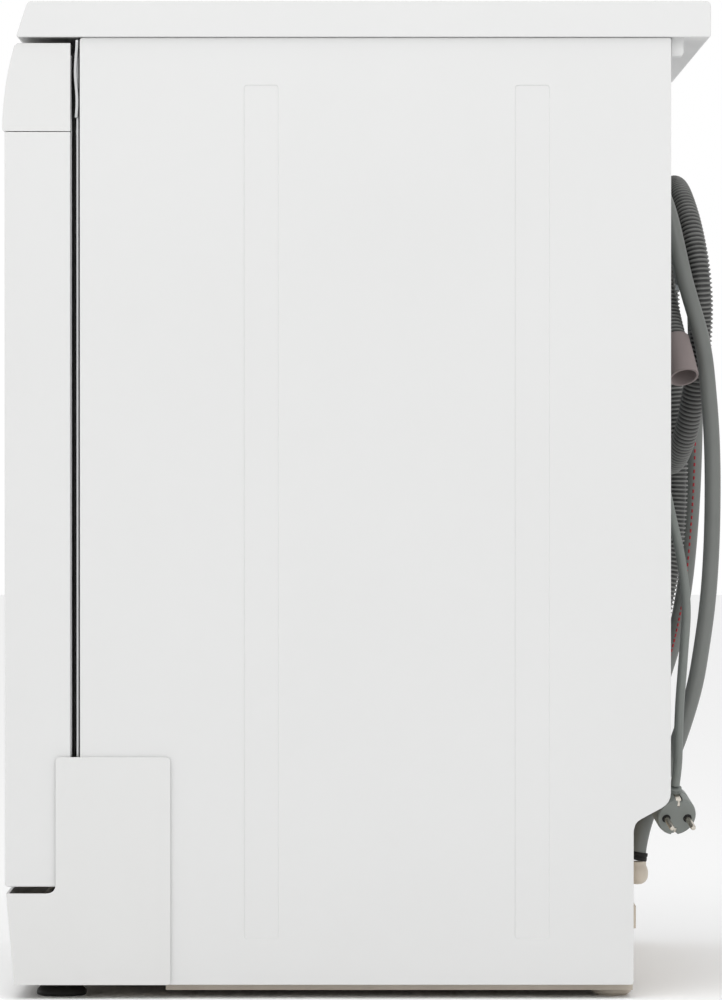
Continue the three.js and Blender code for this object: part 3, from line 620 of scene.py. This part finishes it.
LEAD_ROUTE = [
    (-262, 253.6, 205), (-262, 254.5, 230), (-258, 262, 262), (-240, 273, 296), (-210, 283, 330),
    (-170, 292, 366), (-130, 297, 405), (-95, 296, 445), (-64, 288, 490.6), (-42, 276, 550.5),
    (-31, 270.5, 605), (-24, 269.5, 641), (-7, 269.5, 675), (25, 269.5, 700), (70, 269.5, 709.4),
    (115, 269.5, 700), (148, 269.5, 674), (166.5, 269.5, 642), (176, 269, 613), (192, 267, 588.4),
    (212, 262, 566), (226, 259.5, 534), (231, 259, 494), (230, 262, 452), (226, 270, 412),
    (223, 279, 372), (223, 283.5, 330), (228, 281, 290), (236, 277.5, 250), (242.6, 275.8, 218),
    (242, 275.2, 197), (236, 273.4, 178),
]
DRAIN_RADIUS, INLET_RADIUS, LEAD_RADIUS = 10.5, 7.0, 4.0
STEPS_PER_SPAN = 10


def smooth_path(route):
    """Points in metres on one smooth curve through a route in millimetres."""
    ends = [route[0], *route, route[-1]]
    path = []
    for a, b, c, d in zip(ends, ends[1:], ends[2:], ends[3:]):
        a, b, c, d = (Vector(p) * MM for p in (a, b, c, d))
        for i in range(STEPS_PER_SPAN):
            t = i / STEPS_PER_SPAN
            path.append(0.5 * (
                2 * b + (c - a) * t + (2 * a - 5 * b + 4 * c - d) * t ** 2
                + (3 * b - a - 3 * c + d) * t ** 3
            ))
    path.append(Vector(route[-1]) * MM)
    return path


def curve_object(name, path):
    data = bpy.data.curves.new(name, "CURVE")
    data.dimensions = "3D"
    line = data.splines.new("POLY")
    line.points.add(len(path) - 1)
    for point, place in zip(line.points, path):
        point.co = (*place, 1)
    piece = bpy.data.objects.new(name, data)
    scene.collection.objects.link(piece)
    return piece


def tube(name, path, radius_mm, material, rib_mm=0.0, pitch_mm=4.0, step_mm=4.0, sides=20):
    return RIBBED_TUBE.run(
        curve_object(name, path), Radius=radius_mm * MM, Rib_Depth=rib_mm * MM,
        Pitch=pitch_mm * MM, Step=step_mm * MM, Sides=sides, Material=FINISHES[material],
    )


def end_way(path):
    return (path[-1] - path[-3]).normalized()


def add_drain_hose():
    path = smooth_path(DRAIN_ROUTE)
    hose = tube("drain_hose_ribbed", path, DRAIN_RADIUS, "drain_grey", rib_mm=RIB_DEPTH, pitch_mm=3.8,
                step_mm=0.54, sides=28)
    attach(hose, "cabinet")
    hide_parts("drain_hose")
    cuff = lathe("drain_cuff_rubber", [
        (0, 1.8), (12.3, 1.8), (12.7, 3.0), (12.7, 9), (13.0, 12), (13.2, 41), (12.9, 42),
        (11.2, 42), (10.8, 41), (10.6, 14), (9.5, 12), (0, 12),
    ], "cuff_taupe", stood(path[-1], end_way(path)), segments=56)
    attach(cuff, "cabinet")
    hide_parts("drain_cuff")


def add_inlet_hose():
    path = smooth_path(INLET_ROUTE)
    hose = tube("inlet_hose_smooth", path, INLET_RADIUS, "hose_grey", step_mm=3.0, sides=32)
    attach(hose, "cabinet")
    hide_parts("inlet_hose")
    nut = lathe("inlet_nut_ribbed", [
        (0, 1), (9.6, 1), (10.4, 1.6), (12.8, 4), (14.0, 6.5), (14.4, 8), (14.4, 29), (14.0, 30),
        (11.2, 30), (11.2, 19), (5, 18), (0, 18),
    ], "grey_plastic", stood(path[-1], end_way(path)), segments=36)
    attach(nut, "cabinet")
    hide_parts("inlet_nut")
    add_inlet_tracer(path)
    add_inlet_elbow(path[0])


def add_mains_lead():
    path = smooth_path(LEAD_ROUTE)
    lead = tube("mains_lead_sheath", path, LEAD_RADIUS, "lead_grey", step_mm=4.0, sides=20)
    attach(lead, "cabinet")
    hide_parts("mains_lead")
    plug = add_plug(path)
    relief = add_gland(path)


def add_gland(path):
    """A tapered, ringed strain relief on a small root block."""
    x, y, z = path[0]
    profile = [(0, -38), (6.0, -38)]
    groove = 1.0
    for i in range(6):
        height, radius = -36 + 6 * i, 6.2 - 0.24 * i
        profile += [(radius, height), (radius, height + 3.6)]
        profile += [(radius - groove, height + 4), (radius - groove, height + 5.6)]
    profile += [(4.7, -0.6), (0, -0.6)]
    boot = lathe("gland_boot", profile, "black_plastic", stood((x, y + 0.6 * MM, z)), segments=28)
    eased("mains_gland", "black_plastic", 0.8, name="mains_gland_root")
    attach(boot, "cabinet")
    return boot


PLUG_DROP = 23.0 * MM
PLUG_TIP, PLUG_SWING = 0.42, 0.26


def add_plug(path):
    """An angled two-pin earthed plug: moulded body, pins, earth springs and a ribbed neck."""
    hung = (
        Matrix.Translation(path[-1]) @ Matrix.Rotation(PLUG_SWING, 4, "Z")
        @ Matrix.Rotation(PLUG_TIP, 4, "Y") @ Matrix.Translation((0, 0, -PLUG_DROP))
    )
    facing = hung @ Matrix.Rotation(math.pi / 2, 4, "Y")
    body = lathe("plug_body", [
        (0, -18), (11, -18), (13.6, -17), (15.6, -14.6), (17.0, -11), (17.4, -8), (17.4, -1),
        (16.9, -0.4), (16.9, 0.8), (17.4, 1.4), (17.4, 13), (17.0, 15.2), (16.2, 16), (0, 16),
    ], "lead_grey", facing, segments=64)
    notches = []
    for end in (-1, 1):
        notches.append(cutter("earth_notch", hung, (4, 0, end * 17.6), (30, 6.2, 5.2)))
        notches.append(cutter("rim_slit", hung, (8, 0, end * 12.6), (20, 2.2, 5.2)))
    carved(body, notches)
    neck = lathe("plug_neck", [
        (0, 8), (8.8, 8), (8.4, 12), (6.9, 15.0), (6.6, 15.4), (6.6, 16.2), (6.0, 16.4), (6.0, 17.2),
        (6.5, 17.4), (6.4, 18.4), (5.8, 18.6), (5.8, 19.4), (6.2, 19.6), (5.9, 21.0), (4.6, 21.4), (0, 21.4),
    ], "lead_grey", hung, segments=40)
    pieces = [body, neck]
    for side in (-9.5, 9.5):
        at = facing @ Matrix.Translation((0, side * MM, 0)) @ Matrix.Translation((MM, 0, 0))
        pieces.append(lathe("plug_pin", [
            (0, 15), (2.35, 15), (2.35, 33.2), (1.9, 34.5), (1.0, 35), (0, 35),
        ], "nickel", at, segments=24))
        pieces.append(lathe("plug_pin_collar", [
            (2.4, 15.5), (3.9, 15.5), (3.7, 16.5), (2.6, 16.7), (2.4, 16.7),
        ], "black_plastic", at, segments=24))
    for end in (-1, 1):
        pieces.append(spring_clip(hung, end))
    plug = joined("mains_plug_moulded", pieces)
    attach(plug, "cabinet")
    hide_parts("mains_plug")
    return plug


def cutter(name, turn, centre, size):
    work = bmesh.new()
    bmesh.ops.create_cube(work, size=1.0)
    stretch = Matrix.Diagonal((*[s * MM for s in size], 1))
    work.transform(turn @ Matrix.Translation(Vector(centre) * MM) @ stretch)
    mesh = bpy.data.meshes.new(name)
    work.to_mesh(mesh)
    work.free()
    return new_object(name, mesh, "lead_grey")


def carved(piece, tools):
    """piece with each tool's shape cut out of it."""
    for tool in tools:
        cut = piece.modifiers.new("cut", "BOOLEAN")
        cut.operation = "DIFFERENCE"
        cut.solver = "EXACT"
        cut.object = tool
    applied(piece)
    for tool in tools:
        bpy.data.objects.remove(tool)
    return smoothed(piece, 35)


def spring_clip(turn, end):
    """A bent earth spring in its notch."""
    line = [(-8, 14.9), (2, 15.2), (8, 16.5), (13, 15.6), (15.4, 13.4), (15.8, 10.6)]
    work = bmesh.new()
    rows = []
    for along, out in line:
        for lift in (0.0, 0.5):
            rows.append([
                work.verts.new((along * MM, side * 2.3 * MM, end * (out + lift) * MM)) for side in (-1, 1)
            ])
    for i in range(0, len(rows) - 2, 2):
        low, top, next_low, next_top = rows[i:i + 4]
        for a, b in ((low, next_low), (next_top, top)):
            work.faces.new((a[0], a[1], b[1], b[0]))
        for side in (0, 1):
            work.faces.new((low[side], top[side], next_top[side], next_low[side]))
    for low, top in (rows[:2], rows[-2:]):
        work.faces.new((low[0], low[1], top[1], top[0]))
    bmesh.ops.recalc_face_normals(work, faces=work.faces)
    work.transform(turn)
    mesh = bpy.data.meshes.new("earth_spring")
    work.to_mesh(mesh)
    work.free()
    return smoothed(new_object("earth_spring", mesh, "nickel"), 40)


def add_inlet_elbow(start):
    """A round-shouldered elbow, its stub into the rear cover, and a banded clamp above it."""
    low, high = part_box("inlet_elbow")
    x, y = start.x, start.y
    height = (high.z - low.z) / MM
    knob = lathe("inlet_elbow_knob", [
        (0, 0), (4.4, 0.6), (7.4, 2.6), (9.0, 5.4), (9.5, 8.6), (9.4, 12.0), (8.6, 14.8), (7.8, 16.2),
        (7.8, height), (0, height),
    ], "cream_plastic", stood((x, y, low.z)), segments=40)
    stub = lathe("inlet_elbow_stub", [(0, 0), (8, 0), (8, 14), (7.4, 15), (0, 15)], "cream_plastic",
                 stood((x, y - 1 * MM, low.z + 10 * MM), (0, -1, 0)), segments=32)
    band = [(-0.1, -0.4), (1.0, -0.4), (1.3, 0.4), (1.3, 2.4), (0.9, 2.8), (0.9, 3.4), (1.3, 3.8),
            (1.3, 6.0), (1.0, 6.8), (-0.1, 6.8)]
    clamp = lathe("inlet_hose_clamp", [(INLET_RADIUS + out, up) for out, up in band],
                  "black_plastic", stood(start, (0, 0.19, 0.98)), segments=40)
    knob = joined("inlet_elbow_moulded", [knob, stub])
    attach(knob, "cabinet")
    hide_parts("inlet_elbow")
    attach(clamp, "cabinet")


TRACER_TURN_END = 0.72  # share of the hose's length
TRACER_TURN_LENGTH = 0.17


def add_inlet_tracer(path):
    """Short red dashes along one side of the inlet hose, swinging to its other side past the top."""
    points, edges = [], []
    for i in range(2, len(path) - 2):
        way = (path[i + 1] - path[i]).normalized()
        twist = math.pi * min(1.0, max(0.0, (TRACER_TURN_END - i / len(path)) / TRACER_TURN_LENGTH))
        side = Vector((math.cos(twist), math.sin(twist), 0.0))
        side = (side - way * side.dot(way)).normalized()
        start = path[i] + side * (INLET_RADIUS - 0.5) * MM
        points.extend([start, start + way * 3.0 * MM])
        edges.append((len(points) - 2, len(points) - 1))
    dashes = WIRE_GRID.run(
        points_object("inlet_tracer_dashes", points, edges), Radius=0.95 * MM, Sides=8,
        Material=FINISHES["tracer_red"],
    )
    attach(dashes, "cabinet")


add_camera()
add_drain_hose()
add_inlet_hose()
add_mains_lead()

# ---- casing ----

EASED = [
    ("worktop", "white_laminate", 2.4, 3),
    ("side_panel_right", "white_enamel", 0.3, 2),
    ("side_panel_left", "white_enamel", 0.3, 2),
    ("door_outer_panel", "white_enamel", 2.6, 4),
    ("control_fascia", "white_plastic", 2.6, 4),
    ("plinth", "white_plastic", 1.1, 3),
    ("base_tray", "cream_plastic", 1.0, 2),
    ("lower_back_cover", "cream_plastic", 0.6, 2),
    ("back_panel", "zinc", 0.3, 1),
    ("display_window", "dark_glass", 0.5, 2),
    ("power_button", "grey_plastic", 0.5, 3),
    ("programme_button", "grey_plastic", 0.5, 3),
    ("start_button", "grey_plastic", 0.5, 3),
    ("dispenser_body", "grey_plastic", 0.8, 2),
    ("dispenser_lid", "grey_plastic", 1.2, 3),
    ("door_inner_liner", "steel", 1.2, 3),
    ("tub", "steel", 0.8, 2),
    ("door_seal", "rubber", 0.8, 3),
    ("hinge_arm_right", "zinc", 0.5, 2),
    ("hinge_arm_left", "zinc", 0.5, 2),
    ("hinge_bracket_right", "zinc", 0.5, 2),
    ("hinge_bracket_left", "zinc", 0.5, 2),
    ("latch_strike", "zinc", 0.5, 2),
    ("door_lock", "black_plastic", 1.0, 2),
    ("upper_rail_right", "steel", 0.8, 2),
    ("upper_rail_left", "steel", 0.8, 2),
    ("wheel_front_right", "grey_plastic", 0.8, 2),
    ("wheel_front_left", "grey_plastic", 0.8, 2),
    ("wheel_rear_right", "grey_plastic", 0.8, 2),
    ("wheel_rear_left", "grey_plastic", 0.8, 2),
    ("cutlery_basket", "grey_plastic", 0.8, 2),
    ("lower_spray_arm", "grey_plastic", 1.6, 3),
    ("upper_spray_arm", "grey_plastic", 1.6, 3),
    ("roof_spray", "grey_plastic", 0.8, 2),
    ("sump", "black_plastic", 0.8, 2),
    ("filter_plate", "steel", 0.5, 2),
    ("filter_cup", "grey_plastic", 0.6, 2),
    ("circulation_pump", "black_plastic", 1.2, 2),
    ("drain_pump", "black_plastic", 1.0, 2),
    ("flow_heater", "steel", 1.0, 2),
    ("water_softener", "white_plastic", 2.5, 3),
    ("salt_cap", "grey_plastic", 0.8, 2),
    ("inlet_valve", "white_plastic", 1.5, 2),
    ("hose_cradle", "grey_plastic", 0.8, 2),
    ("drain_elbow", "grey_plastic", 0.8, 2),
]
for cad_node, material, width, segments in EASED:
    eased(cad_node, material, width, segments)
keep("control_board", "circuit_green")


def add_front_feet():
    """Levelling feet: a flared pad with a grip band."""
    for side in ("right", "left"):
        low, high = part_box(f"front_foot_{side}")
        middle = (low + high) / 2
        profile = [
            (0, 0), (19.6, 0), (21.0, 0.8), (21.5, 2.4), (21.2, 4.2), (18.8, 7.0), (16.4, 9.4),
            (16.0, 12.5), (0, 12.5),
        ]
        foot = lathe(f"levelling_foot_{side}", profile, "black_plastic",
                     stood((middle.x, middle.y, low.z)), segments=56)
        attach(foot, "cabinet")
        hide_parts(f"front_foot_{side}")


def add_door_springs():
    """Coil springs."""
    for side in ("right", "left"):
        low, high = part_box(f"door_spring_{side}")
        middle = (low + high) / 2
        coils, radius, wire = 26, 9.6 * MM, 1.1
        steps = 20
        path = []
        for i in range(coils * steps + 1):
            turn = 2 * math.pi * i / steps
            y = low.y + wire * MM + (high.y - low.y - 2 * wire * MM) * i / (coils * steps)
            path.append(Vector((middle.x + radius * math.cos(turn), y, middle.z + radius * math.sin(turn))))
        coil = tube(f"door_spring_coil_{side}", path, wire, "zinc", step_mm=3.0, sides=8)
        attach(coil, "cabinet")
        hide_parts(f"door_spring_{side}")


# ---- racks ----

def lattice(low, high, along_x, along_y, levels):
    """Points and edges of an open wire basket between two corners."""
    points, edges = [], []

    def wire(*places):
        start = len(points)
        points.extend(places)
        edges.extend((start + i, start + i + 1) for i in range(len(places) - 1))

    for i in range(along_x):
        x = low.x + (high.x - low.x) * i / (along_x - 1)
        wire((x, low.y, high.z), (x, low.y, low.z), (x, high.y, low.z), (x, high.y, high.z))
    for i in range(along_y):
        y = low.y + (high.y - low.y) * i / (along_y - 1)
        wire((low.x, y, high.z), (low.x, y, low.z), (high.x, y, low.z), (high.x, y, high.z))
    for z in levels:
        corners = [(low.x, low.y, z), (high.x, low.y, z), (high.x, high.y, z), (low.x, high.y, z)]
        wire(*corners, corners[0])
    return points, edges


def tines(low, high, rows, count, height):
    """Upright plate pegs in rows across the rack's floor."""
    points, edges = [], []
    for row in rows:
        for i in range(count):
            y = low.y + (high.y - low.y) * (i + 0.5) / count
            start = len(points)
            points.extend([(row, y, low.z), (row, y + 0.004, low.z + height)])
            edges.append((start, start + 1))
    return points, edges


def wires(name, parts, radius_mm, material):
    points, edges = [], []
    for more_points, more_edges in parts:
        start = len(points)
        points += more_points
        edges += [(a + start, b + start) for a, b in more_edges]
    return WIRE_GRID.run(
        points_object(name, points, edges), Radius=radius_mm * MM, Sides=8, Material=FINISHES[material],
    )


RACK_FLOOR = 0.4468  # of the upper rack's wires, above its feed pipe
WIRE = 2.4 * MM


def add_upper_rack():
    low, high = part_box("upper_rack")
    inner = Vector((-0.245, low.y + WIRE, RACK_FLOOR))
    outer = Vector((0.245, high.y - WIRE, high.z - WIRE))
    middle_level = inner.z + (outer.z - inner.z) * 0.55
    grid = lattice(inner, outer, 13, 11, [outer.z, middle_level])
    pegs = tines(inner, outer, (-0.12, 0.0, 0.12), 13, 0.055)
    basket = wires("upper_rack_wires", [grid, pegs], 1.9, "grey_plastic")
    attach(basket, "upper_rack")
    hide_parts("upper_rack")
    for side in (-1, 1):
        centre = (side * 0.2537, (low.y + high.y) / 2, 0.495)
        runner = bar(f"upper_runner_{side}", centre, (0.0145, 0.39, 0.02), "white_plastic", 3.0)
        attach(runner, "upper_rack")
    feed = bar("upper_feed_pipe", (0, -0.005, 0.441), (0.49, 0.018, 0.0095), "grey_plastic", 3.0)
    hub = lathe("upper_arm_hub", [(0, 0), (13, 0), (14, 1), (14, 5), (11, 6.4), (0, 6.4)], "grey_plastic",
                stood((0, -0.005, 0.4306)), segments=32)
    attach(feed, "upper_rack")
    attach(hub, "upper_rack")


def add_lower_rack():
    low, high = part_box("lower_rack")
    floor = high.z - 2.5 * MM - 0.114
    inner = Vector((-0.232, low.y + WIRE, floor))
    outer = Vector((0.232, high.y - WIRE, high.z - WIRE))
    middle_level = inner.z + (outer.z - inner.z) * 0.5
    grid = lattice(inner, outer, 12, 11, [outer.z, middle_level])
    rear = Vector((inner.x, -0.105, inner.z))
    pegs = tines(rear, outer, (-0.16, -0.05, 0.06, 0.17), 12, 0.075)
    basket = wires("lower_rack_wires", [grid, pegs], 2.1, "grey_plastic")
    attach(basket, "lower_rack")
    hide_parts("lower_rack")
    for end in ("front", "rear"):
        for side in ("right", "left"):
            near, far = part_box(f"wheel_{end}_{side}")
            middle = (near + far) / 2
            sign = 1 if side == "right" else -1
            profile = [(0, -13), (2.9, -13), (2.9, 5), (4.6, 5.2), (4.6, 6.4), (0, 6.6)]
            axle = lathe(f"axle_{end}_{side}", profile, "grey_plastic",
                         stood(middle, (sign, 0, 0)), segments=20)
            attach(axle, "lower_rack")


def bar(name, centre, size, material, width_mm):
    """A long moulding with well-rounded edges."""
    work = bmesh.new()
    bmesh.ops.create_cube(work, size=1.0)
    work.transform(Matrix.Translation(Vector(centre)) @ Matrix.Diagonal((*size, 1)))
    mesh = bpy.data.meshes.new(name)
    work.to_mesh(mesh)
    work.free()
    piece = new_object(name, mesh, material)
    bevel = piece.modifiers.new("edge", "BEVEL")
    bevel.width = width_mm * MM
    bevel.segments = 4
    return smoothed(applied(piece), 50)


def add_spray_nozzles():
    """A row of jets along each half of the two spray arms."""
    profile = [(0, -1), (4.2, -1), (4.2, 0.5), (3.2, 1.6), (1.4, 1.6), (1.2, 0.6), (0, 0.6)]
    reaches = (0.06, 0.10, 0.14, 0.175)
    for level, node_name in (("lower", "lower_spray_arm"), ("upper", "upper_spray_arm")):
        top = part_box(node_name)[1].z - 1 * MM
        nozzle = lathe("nozzle_shape", profile, "black_plastic", segments=14)
        places = [(side * reach, -0.005 + side * 0.004, top) for side in (-1, 1) for reach in reaches]
        studded(f"{level}_arm_nozzles", nozzle, places, "black_plastic", node_name)


def rounded_loop(x0, x1, z0, z1, y, radius, steps=6):
    """A closed rectangle with round corners, standing at one depth."""
    points = []
    corners = ((x1, z1, 0), (x0, z1, 1), (x0, z0, 2), (x1, z0, 3))
    for x, z, quarter in corners:
        cx = x - radius if x == x1 else x + radius
        cz = z - radius if z == z1 else z + radius
        for i in range(steps + 1):
            turn = (quarter + i / steps) * math.pi / 2
            points.append((cx + radius * math.cos(turn), y, cz + radius * math.sin(turn)))
    edges = [(i, (i + 1) % len(points)) for i in range(len(points))]
    return points, edges


def add_pressings():
    """Pressed beads in the tub's walls and on the door's inner sheet."""
    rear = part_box("tub")[1].y - 2.2 * MM
    lines = []
    for side in (-1, 1):
        wall_x = side * 0.2776
        for z in (0.60, 0.655, 0.71):
            lines.append(([(wall_x, -0.20, z), (wall_x, 0.185, z)], [(0, 1)]))
    lines.append(rounded_loop(-0.20, 0.20, 0.60, 0.745, rear, 0.03))
    lines.append(rounded_loop(-0.20, 0.20, 0.25, 0.54, rear, 0.03))
    beads = wires("tub_pressed_beads", lines, 2.4, "steel")
    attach(beads, "cabinet")
    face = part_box("door_inner_liner")[1].y - 0.1 * MM
    frames = [
        rounded_loop(-0.245, 0.245, 0.19, 0.76, face, 0.03),
        rounded_loop(-0.18, 0.18, 0.22, 0.44, face, 0.03),
    ]
    door_beads = wires("door_pressed_beads", frames, 1.6, "steel")
    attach(door_beads, "door")


def add_basket_grid():
    """The cutlery basket's open sides: ribs over each wall."""
    low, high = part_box("cutlery_basket")
    ease = Vector((0.4, 0.4, 0)) * MM
    inner = low - ease + Vector((0, 0, 3 * MM))
    outer = Vector((high.x, high.y, low.z + 0.125)) + ease
    levels = [inner.z + (outer.z - inner.z) * i / 9 for i in range(10)]
    grid = lattice(inner, outer, 15, 8, levels)
    ribs = wires("cutlery_basket_ribs", [grid], 1.1, "grey_plastic")
    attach(ribs, "lower_rack")


def add_gap_strips():
    """Bright sprung strips in the gap beside the door's head."""
    for side in (-1, 1):
        centre = (side * 0.2925, -0.2372, 0.7795)
        strip = bar(f"gap_strip_{side}", centre, (0.006, 0.0026, 0.066), "steel", 0.6)
        work = bmesh.new()
        work.from_mesh(strip.data)
        bmesh.ops.subdivide_edges(
            work, edges=[e for e in work.edges if e.calc_length() > 0.05], cuts=14,
        )
        for v in work.verts:
            v.co.y += 0.0007 * math.sin((v.co.z - 0.7465) / 0.066 * 2.5 * math.pi)
        work.to_mesh(strip.data)
        work.free()
        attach(strip, "cabinet")


def add_screws():
    """Pan-head screws down the rear panel's edges."""
    low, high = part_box("back_panel")
    head = lathe("screw_shape", [(0, 0), (4.2, 0), (4.2, 0.8), (3.2, 2.0), (1.2, 2.3), (0.8, 1.5), (0, 1.5)],
                 "zinc", stood((0, 0, 0), (0, 1, 0)), segments=14)
    places = []
    for i in range(6):
        z = low.z + 0.03 + (high.z - low.z - 0.06) * i / 5
        places += [(side * (high.x - 0.010), high.y, z) for side in (-1, 1)]
    studded("rear_screws", head, places, "zinc", "cabinet")


add_front_feet()
add_door_springs()
add_upper_rack()
add_lower_rack()
add_spray_nozzles()
add_screws()
add_gap_strips()
add_pressings()
add_basket_grid()
add_floor()
add_lights()
